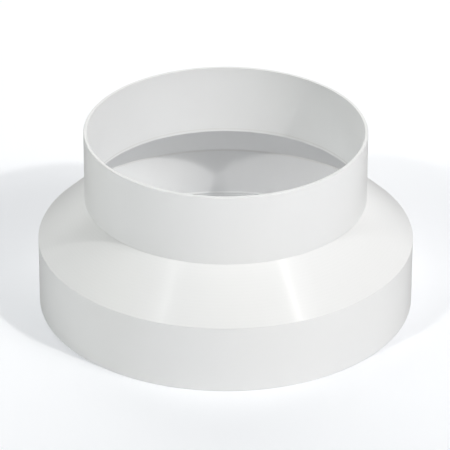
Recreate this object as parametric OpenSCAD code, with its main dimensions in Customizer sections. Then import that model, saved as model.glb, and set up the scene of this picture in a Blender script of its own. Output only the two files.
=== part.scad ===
// Concentric duct reducer: a wide collar and a narrow collar joined by a cone, open right through.
// It is three turned rings, joined by rebated laps, with a ring of cement inside each joint.
// The origin is the centre of the wide mouth, and the duct runs up Z.

/* [Collars] */
// Outside diameter of the small collar
small_d = 150; // [100:5:160]
// Height of the small collar above the neck
small_len = 39; // [20:1:80]
// Outside diameter of the large collar
large_d = 200; // [180:5:300]
// Height of the large collar below the shoulder
large_len = 37.5; // [20:0.5:80]
// Thickness of every wall
wall = 1.8; // [1.6:0.1:3]

/* [Cone] */
// Height of the cone, from the shoulder's outside edge to the neck's outside edge
cone_h = 23.5; // [16:0.5:50]
// Height of the neck's inside edge above its outside edge, which thins the cone's wall there
neck_edge = 0.1; // [-0.4:0.1:0.4]
// Radius of the rounding on the neck's inside edge
neck_round = 1.8; // [0.5:0.1:2]

/* [Joints] */
// Height of the lip that seats in the small collar's rebate
neck_lap = 1.7; // [1.5:0.1:4]
// Height of the lip that seats in the large collar's rebate
shoulder_lap = 1.4; // [1.2:0.1:1.6]
// Depth of the groove round the inside of the upper seam
neck_groove = 0.5; // [0.4:0.05:0.6]
// Depth of the cement at the bottom of that groove
neck_bead_h = 0.3; // [0.25:0.05:0.35]
// Height of the cement ring below the inside corner of the shoulder
shoulder_bead_leg = 1.2; // [1:0.1:2]
// Depth of the lower seam's bevelled edges, which that ring fills
shoulder_bevel = 0.5; // [0.4:0.05:0.6]

/* [Rims] */
// Radius of the rounding on both edges of each rim
rim_round = 0.4; // [0.2:0.1:0.5]
// Height of the relief inside the large mouth, up to its step
relief_h = 9; // [6:0.1:16]
// Depth of that relief into the wall
relief_cut = 0.6; // [0.55:0.05:0.6]

/* [Hidden] */
$fn = 180;

// Steps in each quarter of a rounding
round_steps = 5;

// Outside and inside radii of the two collars, and the middle of each wall, where the laps part
small_r = small_d / 2;
small_bore_r = small_r - wall;
small_mid_r = small_r - wall / 2;
large_r = large_d / 2;
large_bore_r = large_r - wall;
large_mid_r = large_r - wall / 2;
relief_r = large_bore_r + relief_cut;

// Heights of the outside edges
shoulder_z = large_len;
neck_z = shoulder_z + cone_h;
rim_z = neck_z + small_len;

// The cone's outside leans out from the vertical by this angle. At the shoulder its wall is as
// thick as the collar's, which puts the inside edge this far below the outside one
outside_lean = atan2(large_r - small_r, cone_h);
shoulder_in_z = shoulder_z - wall * tan(outside_lean / 2);
// Inside edge of the neck, and the lean of the cone's inside face between the two edges
neck_in_z = neck_z + neck_edge;
lean = atan2(large_bore_r - small_bore_r, neck_in_z - shoulder_in_z);

// Height where each lap ends
neck_seat_z = neck_z + neck_lap;
shoulder_seat_z = shoulder_z - shoulder_lap;

// The groove's bottom, and the three corners of the shoulder's cement: on the collar's wall, behind
// in the seam, and at the inside corner, where the cone's face ends
groove_r = small_bore_r + neck_groove;
bead_low = [large_bore_r, shoulder_in_z - shoulder_bead_leg];
bead_back = [large_bore_r + shoulder_bevel, shoulder_seat_z];
bead_high = [large_bore_r, shoulder_in_z];

// Points along a round edge, as [radius, height], from angle a to angle b
function arc(centre, r, a, b, steps) =
    [for (i = [0:steps]) centre + r * [cos(a + (b - a) * i / steps), sin(a + (b - a) * i / steps)]];

// Lathe-turned ring from an outline of [radius, height] points
module ring(outline) {
    rotate_extrude() polygon(outline);
}

// Narrow upper tube, rebated inside its lower end
module small_collar() {
    outer = [small_r - rim_round, rim_z - rim_round];
    inner = [small_bore_r + rim_round, rim_z - rim_round];
    color("#e4e4e2")
        ring(concat(
            [[small_mid_r, neck_z], [small_r, neck_z]],
            arc(outer, rim_round, 0, 90, round_steps),
            arc(inner, rim_round, 90, 180, round_steps),
            [[small_bore_r, neck_seat_z + neck_groove], [groove_r, neck_seat_z], [small_mid_r, neck_seat_z]]
        ));
}

// Conical transition, with a lip at each end for the collars' rebates
module cone() {
    // The rounding touches the lip's face and the cone's inside face
    reach = neck_round * tan(lean / 2);
    centre = [small_bore_r + neck_round, neck_in_z + reach];
    color("#f0efed")
        ring(concat(
            [[small_mid_r, neck_z], [small_mid_r, neck_seat_z]],
            [[groove_r, neck_seat_z], [small_bore_r, neck_seat_z - neck_groove]],
            arc(centre, neck_round, 180, 180 + lean, round_steps),
            [bead_high, bead_back, [large_mid_r, shoulder_seat_z], [large_mid_r, shoulder_z]],
            [[large_r, shoulder_z], [small_r, neck_z]]
        ));
}

// Wide lower tube, rebated inside its upper end and relieved inside its mouth
module large_collar() {
    outer = [large_r - rim_round, rim_round];
    inner = [relief_r + rim_round, rim_round];
    color("#e1e3e2")
        ring(concat(
            [[large_r, shoulder_z], [large_mid_r, shoulder_z]],
            [[large_mid_r, shoulder_seat_z], bead_back, bead_low],
            [[large_bore_r, relief_h], [relief_r, relief_h]],
            arc(inner, rim_round, 180, 270, round_steps),
            arc(outer, rim_round, 270, 360, round_steps)
        ));
}

// Cement at the bottom of the groove inside the upper seam
module neck_bead() {
    front_r = groove_r - neck_bead_h;
    color("#ecebe8")
        ring([
            [groove_r, neck_seat_z],
            [front_r, neck_seat_z + neck_bead_h],
            [front_r, neck_seat_z - neck_bead_h]
        ]);
}

// Cement filling the lower seam's bevelled edges, dressed flush with the collar's wall
module shoulder_bead() {
    color("#ecebe8")
        ring([bead_low, bead_back, bead_high]);
}

small_collar();
cone();
large_collar();
neck_bead();
shoulder_bead();
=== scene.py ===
"""A white plastic duct reducer, standing on its wide mouth on a plain pale floor.

Each piece is a ring turned about the duct's axis, drawn here as a lathe outline of (radius, height)
points in metres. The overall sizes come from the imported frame.
"""

import math

import bpy
from mathutils import Matrix, Vector

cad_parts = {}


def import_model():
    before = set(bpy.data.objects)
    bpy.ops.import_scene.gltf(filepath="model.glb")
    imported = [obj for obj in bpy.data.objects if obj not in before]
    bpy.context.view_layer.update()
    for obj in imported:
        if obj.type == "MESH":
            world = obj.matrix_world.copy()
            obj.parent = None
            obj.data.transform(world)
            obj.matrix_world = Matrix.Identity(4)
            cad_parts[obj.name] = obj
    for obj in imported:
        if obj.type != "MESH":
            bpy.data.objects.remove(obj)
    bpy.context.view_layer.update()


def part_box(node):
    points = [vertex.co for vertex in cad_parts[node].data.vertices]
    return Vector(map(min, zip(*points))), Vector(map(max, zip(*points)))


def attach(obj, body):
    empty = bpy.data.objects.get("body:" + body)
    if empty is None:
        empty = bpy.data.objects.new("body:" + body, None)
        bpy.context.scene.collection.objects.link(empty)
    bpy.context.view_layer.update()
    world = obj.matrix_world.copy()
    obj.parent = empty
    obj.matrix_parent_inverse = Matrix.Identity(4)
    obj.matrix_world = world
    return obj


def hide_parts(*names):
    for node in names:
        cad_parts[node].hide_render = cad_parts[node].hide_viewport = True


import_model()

MM = 0.001

# ---------------------------------------------------------------- sizes from the frame

SMALL_LOW, SMALL_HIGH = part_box("small_collar")
LARGE_LOW, LARGE_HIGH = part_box("large_collar")
CONE_LOW, CONE_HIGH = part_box("cone")
SHOULDER_BEAD_LOW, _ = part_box("shoulder_bead")

SMALL_R = SMALL_HIGH.x
LARGE_R = LARGE_HIGH.x
RIM_Z = SMALL_HIGH.z
NECK_Z = SMALL_LOW.z
SHOULDER_Z = LARGE_HIGH.z
BASE_Z = LARGE_LOW.z
NECK_SEAT_Z = CONE_HIGH.z
SHOULDER_SEAT_Z = CONE_LOW.z

# ---------------------------------------------------------------- sizes inside the walls

WALL = 1.8 * MM
SMALL_BORE_R = SMALL_R - WALL
SMALL_MID_R = SMALL_R - WALL / 2
LARGE_BORE_R = LARGE_R - WALL
LARGE_MID_R = LARGE_R - WALL / 2
NECK_IN_Z = NECK_Z + 0.1 * MM
SHOULDER_BEVEL = 0.5 * MM
NECK_ROUND = 1.8 * MM
RELIEF_R = LARGE_BORE_R + 0.6 * MM
RELIEF_Z = BASE_Z + 9.0 * MM
RIM_ROUND_OUT = 0.6 * MM
RIM_ROUND_IN = 0.3 * MM
SEAM_ROUND = 0.12 * MM
FINE_ROUND = 0.03 * MM

# Lean of the cone's outside from the vertical, and the height of the inside corner of the shoulder
OUTSIDE_LEAN = math.atan2(LARGE_R - SMALL_R, NECK_Z - SHOULDER_Z)
SHOULDER_IN_Z = SHOULDER_Z - WALL * math.tan(OUTSIDE_LEAN / 2)

# The groove inside the neck, and how far the cement in it stays below the wall's face
GROOVE = 0.5 * MM
GROOVE_R = SMALL_BORE_R + GROOVE
BEAD_SINK = 0.02 * MM

# The corners of the cement that fills the bevelled seam inside the shoulder
BEAD_LOW = (LARGE_BORE_R, SHOULDER_BEAD_LOW.z)
BEAD_BACK = (LARGE_BORE_R + SHOULDER_BEVEL, SHOULDER_SEAT_Z)
BEAD_HIGH = (LARGE_BORE_R, SHOULDER_IN_Z)

# The step inside the wide mouth: the slight lip along its edge, which slopes out to its crest. How far
# from the step's inner corner a line of shade is painted dark, and how far a glint of light is painted
# pale before that fades
LIP_STAND = 0.42 * MM
LIP_LENGTH = 1.2 * MM
LIP_CREST = 0.3 * MM
LIP_ROUND = 0.1 * MM
SHADE_REACH = 0.7 * MM
GLINT_TO = 1.3 * MM
GLINT_END = 1.6 * MM

# Fine rings left by turning the cone's outside, how much greyer they are, and how far they draw
# highlights out across them
RING_PITCH = 1.8 * MM
RING_DEPTH = 0.006 * MM
RING_TONE = 0.12
TURNED_ANISOTROPY = 0.94

TURNS = 288
FAR_FROM_CREASE = 50 * MM


# ---------------------------------------------------------------- outlines

def rounded(outline, default=SEAM_ROUND, steps=4):
    """A closed outline of (radius, height) corners, with each one rounded.

    A corner's third number is the radius of its own rounding. A point just past each end of a rounding
    keeps the long faces flat when they are shaded smooth. The result is (point, edge) pairs, where edge
    is 1 on a rounding."""
    points = []
    for i, corner in enumerate(outline):
        here = Vector(corner[:2])
        before = Vector(outline[i - 1][:2]) - here
        after = Vector(outline[(i + 1) % len(outline)][:2]) - here
        size = corner[2] if len(corner) > 2 else default
        if size == 0:
            points.append((here, 0.0))
            continue
        half_turn = (math.pi - before.angle(after)) / 2
        shortest = min(before.length, after.length)
        reach = min(size * math.tan(half_turn), 0.45 * shortest)
        size = reach / math.tan(half_turn)
        support = min(0.05 * MM, 0.05 * shortest)
        middle = (before.normalized() + after.normalized()).normalized()
        centre = here + middle * (size / math.cos(half_turn))
        first = before.normalized() * reach + here - centre
        last = after.normalized() * reach + here - centre
        start = math.atan2(first.y, first.x)
        sweep = (math.atan2(last.y, last.x) - start + math.pi) % (2 * math.pi) - math.pi
        points.append((here + before.normalized() * (reach + support), 0.0))
        for k in range(steps + 1):
            angle = start + sweep * k / steps
            points.append((centre + size * Vector((math.cos(angle), math.sin(angle))), 1.0))
        points.append((here + after.normalized() * (reach + support), 0.0))
    return points


def lathe(name, outline, creases=(), turns=TURNS):
    """A closed ring with the outline turned about Z. The outline runs anticlockwise in (radius, height).

    Each point carries "edge", which is 1 on a rounding and 0 on a face, "along", its distance along
    the outline, and "crease", its distance from the nearest of the creases, which sets where shade
    and a glint of light are painted."""
    verts, faces, edge, along, crease = [], [], [], [], []
    count = len(outline)
    distance = [0.0]
    for i in range(1, count):
        distance.append(distance[-1] + (outline[i][0] - outline[i - 1][0]).length)
    from_crease = [
        min([(p - Vector(c)).length for c in creases], default=FAR_FROM_CREASE) for p, _ in outline]
    for t in range(turns):
        angle = 2 * math.pi * t / turns
        c, s = math.cos(angle), math.sin(angle)
        verts.extend((p.x * c, p.x * s, p.y) for p, _ in outline)
        edge.extend(on_edge for _, on_edge in outline)
        along.extend(distance)
        crease.extend(from_crease)
    for t in range(turns):
        a, b = t * count, ((t + 1) % turns) * count
        for i in range(count):
            j = (i + 1) % count
            faces.append((a + i, b + i, b + j, a + j))
    mesh = bpy.data.meshes.new(name)
    mesh.from_pydata(verts, [], faces)
    mesh.attributes.new("edge", "FLOAT", "POINT").data.foreach_set("value", edge)
    mesh.attributes.new("along", "FLOAT", "POINT").data.foreach_set("value", along)
    mesh.attributes.new("crease", "FLOAT", "POINT").data.foreach_set("value", crease)
    mesh.shade_smooth()
    obj = bpy.data.objects.new(name, mesh)
    bpy.context.scene.collection.objects.link(obj)
    return obj


# ---------------------------------------------------------------- pieces

def small_collar():
    return lathe("small_collar_shell", rounded([
        (SMALL_MID_R, NECK_Z),
        (SMALL_R, NECK_Z),
        (SMALL_R, RIM_Z, RIM_ROUND_OUT),
        (SMALL_BORE_R, RIM_Z, RIM_ROUND_IN),
        (SMALL_BORE_R, NECK_SEAT_Z + GROOVE, FINE_ROUND),
        (GROOVE_R, NECK_SEAT_Z),
        (SMALL_MID_R, NECK_SEAT_Z),
    ], steps=6))


def cone_outside():
    """The cone's outside face from the shoulder up to the neck, with its fine turned rings."""
    low = Vector((LARGE_R, SHOULDER_Z))
    high = Vector((SMALL_R, NECK_Z))
    length = (high - low).length
    along = (high - low).normalized()
    outward = Vector((along.y, -along.x))
    rings = round(length / RING_PITCH)
    per_ring = 8
    points = []
    for i in range(1, rings * per_ring):
        t = i / (rings * per_ring)
        fade = min(1.0, 12 * t, 12 * (1 - t))
        depth = RING_DEPTH * fade * 0.5 * (1 - math.cos(2 * math.pi * i / per_ring))
        points.append(low + along * (length * t) - outward * depth)
    return [(p.x, p.y, 0) for p in points]


def cone():
    return lathe("cone_shell", rounded([
        (SMALL_MID_R, NECK_Z),
        (SMALL_MID_R, NECK_SEAT_Z),
        (GROOVE_R, NECK_SEAT_Z),
        (SMALL_BORE_R, NECK_SEAT_Z - GROOVE, FINE_ROUND),
        (SMALL_BORE_R, NECK_IN_Z, NECK_ROUND),
        BEAD_HIGH,
        BEAD_BACK,
        (LARGE_MID_R, SHOULDER_SEAT_Z),
        (LARGE_MID_R, SHOULDER_Z),
        (LARGE_R, SHOULDER_Z),
        *cone_outside(),
        (SMALL_R, NECK_Z),
    ], steps=5))


def large_collar():
    return lathe("large_collar_shell", rounded([
        (LARGE_R, SHOULDER_Z),
        (LARGE_MID_R, SHOULDER_Z),
        (LARGE_MID_R, SHOULDER_SEAT_Z),
        BEAD_BACK,
        BEAD_LOW,
        (LARGE_BORE_R, RELIEF_Z + LIP_LENGTH),
        (LARGE_BORE_R - LIP_STAND, RELIEF_Z + LIP_CREST, LIP_ROUND),
        (LARGE_BORE_R, RELIEF_Z, 0),
        (RELIEF_R, RELIEF_Z, 0),
        # These points bound the shade and the glint of light painted below the step
        (RELIEF_R, RELIEF_Z - SHADE_REACH, 0),
        (RELIEF_R, RELIEF_Z - GLINT_END, 0),
        (RELIEF_R, BASE_Z, RIM_ROUND_IN),
        (LARGE_R, BASE_Z, RIM_ROUND_OUT),
    ], steps=6), creases=[(RELIEF_R, RELIEF_Z)])


def neck_bead():
    half = GROOVE - BEAD_SINK
    return lathe("neck_cement", rounded([
        (GROOVE_R, NECK_SEAT_Z),
        (GROOVE_R - half, NECK_SEAT_Z + half),
        (GROOVE_R - half, NECK_SEAT_Z - half),
    ], default=FINE_ROUND, steps=2))


def shoulder_bead():
    return lathe("shoulder_cement", rounded([BEAD_LOW, BEAD_BACK, BEAD_HIGH], default=0.05 * MM))


# ---------------------------------------------------------------- materials

class Nodes:
    """Adds nodes to one material and links them, so that a recipe reads from top to bottom."""

    def __init__(self, name):
        self.material = bpy.data.materials.new(name)
        self.material.use_nodes = True
        self.tree = self.material.node_tree
        self.shader = self.tree.nodes["Principled BSDF"]

    def add(self, kind, inputs=None, **settings):
        node = self.tree.nodes.new(kind)
        for key, value in settings.items():
            setattr(node, key, value)
        for key, value in (inputs or {}).items():
            if isinstance(value, bpy.types.NodeSocket):
                self.tree.links.new(value, node.inputs[key])
            else:
                node.inputs[key].default_value = value
        return node

    def noise(self, where, size, detail=2.0, roughness=0.5):
        """Soft noise from 0 to 1, with features about `size` metres across."""
        node = self.add("ShaderNodeTexNoise", {
            "Vector": where, "Scale": 1 / size, "Detail": detail, "Roughness": roughness})
        return node.outputs["Fac"]

    def ramp(self, value, low, high, low_out=0.0, high_out=1.0):
        node = self.add("ShaderNodeMapRange", {
            "Value": value, "From Min": low, "From Max": high, "To Min": low_out, "To Max": high_out},
            interpolation_type="SMOOTHSTEP")
        return node.outputs["Result"]

    def maths(self, operation, first, second):
        return self.add("ShaderNodeMath", {0: first, 1: second}, operation=operation).outputs[0]

    def mix(self, amount, first, second):
        node = self.add("ShaderNodeMix", {"Factor": amount, "A": first, "B": second}, data_type="RGBA")
        return node.outputs["Result"]

    def set(self, socket, value):
        if isinstance(value, bpy.types.NodeSocket):
            self.tree.links.new(value, self.shader.inputs[socket])
        else:
            self.shader.inputs[socket].default_value = value


def specks(n, where, cell, radius, share):
    """1 inside small scattered dots, one in `share` of the cells, and 0 elsewhere."""
    dots = n.add("ShaderNodeTexVoronoi", {"Vector": where, "Scale": 1 / cell, "Randomness": 1.0})
    near = n.ramp(dots.outputs["Distance"], 0.6 * radius / cell, 1.4 * radius / cell, 1.0, 0.0)
    pick = n.add("ShaderNodeSeparateColor", {"Color": dots.outputs["Color"]}).outputs["Red"]
    return n.maths("MULTIPLY", near, n.maths("LESS_THAN", pick, share))


# Colours that the plain plastic is mixed towards
# The first colour paints a glint of light, the second paints a line of shade, and the third is real dust
PAINTED_GLINT_COLOUR = (0.97, 0.97, 0.96, 1)
PAINTED_SHADE_COLOUR = (0.3, 0.29, 0.28, 1)
DUST = (0.35, 0.34, 0.32, 1)


def plastic(name, colour, roughness, sheen=0.3, tone=0.012, smear=0.02, turned=0.0):
    """White plastic with a faint mottle, handling smears, dust, worn edges and fine grain, and with
    shade and a glint of light painted along creases.

    tone is how much the colour varies, and smear how much the roughness does. turned is the depth in
    metres of fine turning marks on a face that looks up, and draws highlights out across them. Without
    it, faces that look straight up or down are sawn rims."""
    n = Nodes(name)
    coordinates = n.add("ShaderNodeTexCoord").outputs
    where = coordinates["Object"]
    facing = n.add("ShaderNodeSeparateXYZ", {0: coordinates["Normal"]}).outputs["Z"]
    edge = n.add("ShaderNodeAttribute", attribute_name="edge").outputs["Fac"]
    crease = n.add("ShaderNodeAttribute", attribute_name="crease").outputs["Fac"]
    dull = tuple(c * (1 - tone) for c in colour)
    warm = (colour[0], colour[1] * 0.995, colour[2] * 0.98)
    grey = tuple(c * 0.93 for c in colour)

    cloud = n.ramp(n.noise(where, 35 * MM, 3), 0.3, 0.7)
    tint = n.ramp(n.noise(where, 80 * MM, 1), 0.35, 0.65)
    grain = n.noise(where, 0.9 * MM, 2)
    base = n.mix(cloud, (*dull, 1), (*colour, 1))
    base = n.mix(n.maths("MULTIPLY", tint, 0.5), base, (*warm, 1))
    base = n.mix(n.ramp(grain, 0.25, 0.75, 0.0, 0.25), base, (*dull, 1))

    peel = n.maths("MULTIPLY", n.noise(where, 2.5 * MM, 1), 0.0015 * MM)
    tooth = n.maths("MULTIPLY", n.noise(where, 0.4 * MM, 1), 0.0004 * MM)
    nicks = n.maths("MULTIPLY", n.maths("MULTIPLY", edge, n.noise(where, 0.9 * MM, 2)), 0.03 * MM)
    height = n.maths("ADD", n.maths("ADD", peel, tooth), nicks)

    smears = n.ramp(n.noise(where, 18 * MM, 3), 0.35, 0.7, -smear, smear)
    fine = n.ramp(n.noise(where, 0.5 * MM, 1), 0.2, 0.8, -smear, smear)
    gloss = n.maths("ADD", n.maths("ADD", smears, fine), roughness)

    if turned:
        # Fine marks cut by the tool, and a faint ring of tone at each turn of its feed
        along = n.add("ShaderNodeAttribute", attribute_name="along").outputs["Fac"]
        marks = n.add("ShaderNodeTexNoise", {"W": along, "Scale": 1 / (0.5 * MM), "Detail": 2.0},
                      noise_dimensions="1D").outputs["Fac"]
        outside = n.ramp(facing, 0.2, 0.5)
        cut = n.maths("MULTIPLY", marks, n.maths("MULTIPLY", outside, turned))
        height = n.maths("ADD", height, cut)
        wave = n.maths("SINE", n.maths("MULTIPLY", along, 2 * math.pi / RING_PITCH), 0.0)
        rings = n.ramp(n.maths("ADD", wave, n.maths("MULTIPLY", marks, 2.0)), 0.0, 2.0)
        rings = n.maths("MULTIPLY", rings, n.maths("MULTIPLY", outside, RING_TONE))
        base = n.mix(rings, base, (*grey, 1))
        n.set("Anisotropic", TURNED_ANISOTROPY)
        n.set("Anisotropic Rotation", 0.25)
        n.set("Tangent", n.add("ShaderNodeTangent", direction_type="RADIAL", axis="Z").outputs[0])
    else:
        # Sawn rims are greyer and duller than the walls
        sawn = n.ramp(n.maths("ABSOLUTE", facing, 0.0), 0.7, 0.95)
        base = n.mix(n.maths("MULTIPLY", sawn, 0.8), base, (*grey, 1))
        gloss = n.maths("ADD", gloss, n.maths("MULTIPLY", sawn, 0.25))
        rough = n.maths("MULTIPLY", sawn, n.maths("MULTIPLY", grain, 0.004 * MM))
        height = n.maths("ADD", height, rough)

    # Edges are rubbed, a little duller and greyer in patches
    patches = n.ramp(n.noise(where, 6 * MM, 3), 0.42, 0.62)
    rubbed = n.maths("MULTIPLY", edge, patches)
    base = n.mix(n.maths("MULTIPLY", rubbed, 0.6), base, (*grey, 1))
    gloss = n.maths("ADD", gloss, n.maths("MULTIPLY", rubbed, 0.12))

    # Shade is painted dark in the creases, thinning out from them, and a glint of light is painted pale
    # beside it
    # A painted glint: the plastic near the step is made paler to stand in for light on the lip
    painted_glint = n.ramp(crease, GLINT_TO, GLINT_END, 0.8, 0.0)
    base = n.mix(painted_glint, base, PAINTED_GLINT_COLOUR)
    painted_shade = n.ramp(crease, 0.4 * SHADE_REACH, SHADE_REACH, 0.55, 0.0)
    base = n.mix(painted_shade, base, PAINTED_SHADE_COLOUR)

    dust = specks(n, where, 21 * MM, 0.32 * MM, 0.16)
    base = n.mix(n.maths("MULTIPLY", dust, 0.45), base, DUST)
    gloss = n.maths("ADD", gloss, n.maths("MULTIPLY", dust, 0.3))

    bump = n.add("ShaderNodeBump", {"Height": height, "Strength": 1.0, "Distance": 1.0})
    n.set("Base Color", base)
    n.set("Roughness", gloss)
    n.set("Normal", bump.outputs["Normal"])
    n.set("IOR", 1.5)
    n.set("Specular IOR Level", sheen)
    return n.material


# ---------------------------------------------------------------- stage

# The floor's colour, and the faint glow that keeps it pale in the object's shadow
FLOOR_COLOUR = (0.7, 0.7, 0.7, 1)
FLOOR_GLOW = 0.26
GLOW_COLOUR = (0.96, 1, 1.08, 1)


def area_light(name, azimuth, elevation, distance, size, power, colour=(1, 1, 1)):
    """A soft box aimed at the object. Azimuth 0 is the camera's side, and it grows to the right."""
    a, e = math.radians(azimuth), math.radians(elevation)
    away = Vector((math.sin(a) * math.cos(e), -math.cos(a) * math.cos(e), math.sin(e)))
    data = bpy.data.lights.new(name, "AREA")
    data.shape = "DISK"
    data.size = size
    data.energy = power
    data.color = colour
    light = bpy.data.objects.new(name, data)
    light.location = Vector((0, 0, 0.05)) + away * distance
    light.rotation_mode = "QUATERNION"
    light.rotation_quaternion = (-away).to_track_quat("-Z", "Y")
    bpy.context.scene.collection.objects.link(light)


def camera():
    """A long lens from well back, aimed just above the shoulder."""
    elevation, roll, distance = math.radians(28.95), math.radians(-0.105), 1.9425
    aim = Vector((-0.35 * MM, 0, 42.74 * MM))
    back = Vector((0, -math.cos(elevation), math.sin(elevation)))
    data = bpy.data.cameras.new("camera")
    data.sensor_width = 36
    data.lens = 291.104
    data.clip_end = 50
    obj = bpy.data.objects.new("camera", data)
    obj.location = aim + back * distance
    obj.rotation_mode = "QUATERNION"
    look = (-back).to_track_quat("-Z", "Y")
    obj.rotation_quaternion = look @ Matrix.Rotation(-roll, 3, "Z").to_quaternion()
    bpy.context.scene.collection.objects.link(obj)
    bpy.context.scene.camera = obj


def floor():
    mesh = bpy.data.meshes.new("floor")
    half = 4.0
    corners = [(-half, -half, 0), (half, -half, 0), (half, half, 0), (-half, half, 0)]
    mesh.from_pydata(corners, [], [(0, 1, 2, 3)])
    obj = bpy.data.objects.new("floor", mesh)
    obj.location.z = BASE_Z - 0.02 * MM
    bpy.context.scene.collection.objects.link(obj)
    n = Nodes("floor")
    n.set("Base Color", FLOOR_COLOUR)
    n.set("Roughness", 0.9)
    n.set("Emission Color", GLOW_COLOUR)
    n.set("Emission Strength", FLOOR_GLOW)
    mesh.materials.append(n.material)
    obj.visible_glossy = False


def world(strength):
    scene_world = bpy.data.worlds.new("studio")
    scene_world.use_nodes = True
    background = scene_world.node_tree.nodes["Background"]
    background.inputs["Color"].default_value = (1, 1, 1, 1)
    background.inputs["Strength"].default_value = strength
    bpy.context.scene.world = scene_world


# ---------------------------------------------------------------- build

pieces = [
    (small_collar(), "small_collar", "collar_plastic"),
    (cone(), "cone", "cone_plastic"),
    (large_collar(), "large_collar", "collar_plastic"),
    (neck_bead(), "neck_bead", "cement"),
    (shoulder_bead(), "shoulder_bead", "cement"),
]
WHITE = (0.84, 0.84, 0.835)
looks = {
    "collar_plastic": plastic("collar_plastic", WHITE, 0.36),
    "cone_plastic": plastic("cone_plastic", WHITE, 0.28, sheen=0.15, smear=0.003, turned=0.001 * MM),
    "cement": plastic("cement", (0.84, 0.835, 0.82), 0.22, tone=0.04),
}
for piece, node, slot in pieces:
    piece.data.materials.append(looks[slot])
    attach(piece, "root")
    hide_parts(node)

floor()
camera()
world(0.01)
area_light("key_right", 50.2, 42.3, 3.0, 0.14, 29.5)
area_light("soft_right", 57, 42, 3.0, 0.8, 16)
area_light("wide_right", 50, 42, 3.0, 1.8, 14)
area_light("key_left", -43.6, 41.7, 3.0, 0.2, 19)
area_light("soft_left", -50, 42, 3.0, 1.0, 7.5)
area_light("fill_left", -75, 25, 2.0, 0.9, 5.5, (0.92, 1.0, 0.92))
area_light("fill_right", 70, 25, 2.0, 0.9, 3.2)
area_light("back_left", -150, 25, 2.0, 0.9, 10)
area_light("back", 180, 25, 2.0, 1.4, 12)
area_light("back_right", 150, 25, 2.0, 0.9, 8)
bpy.context.scene.view_settings.view_transform = "Standard"
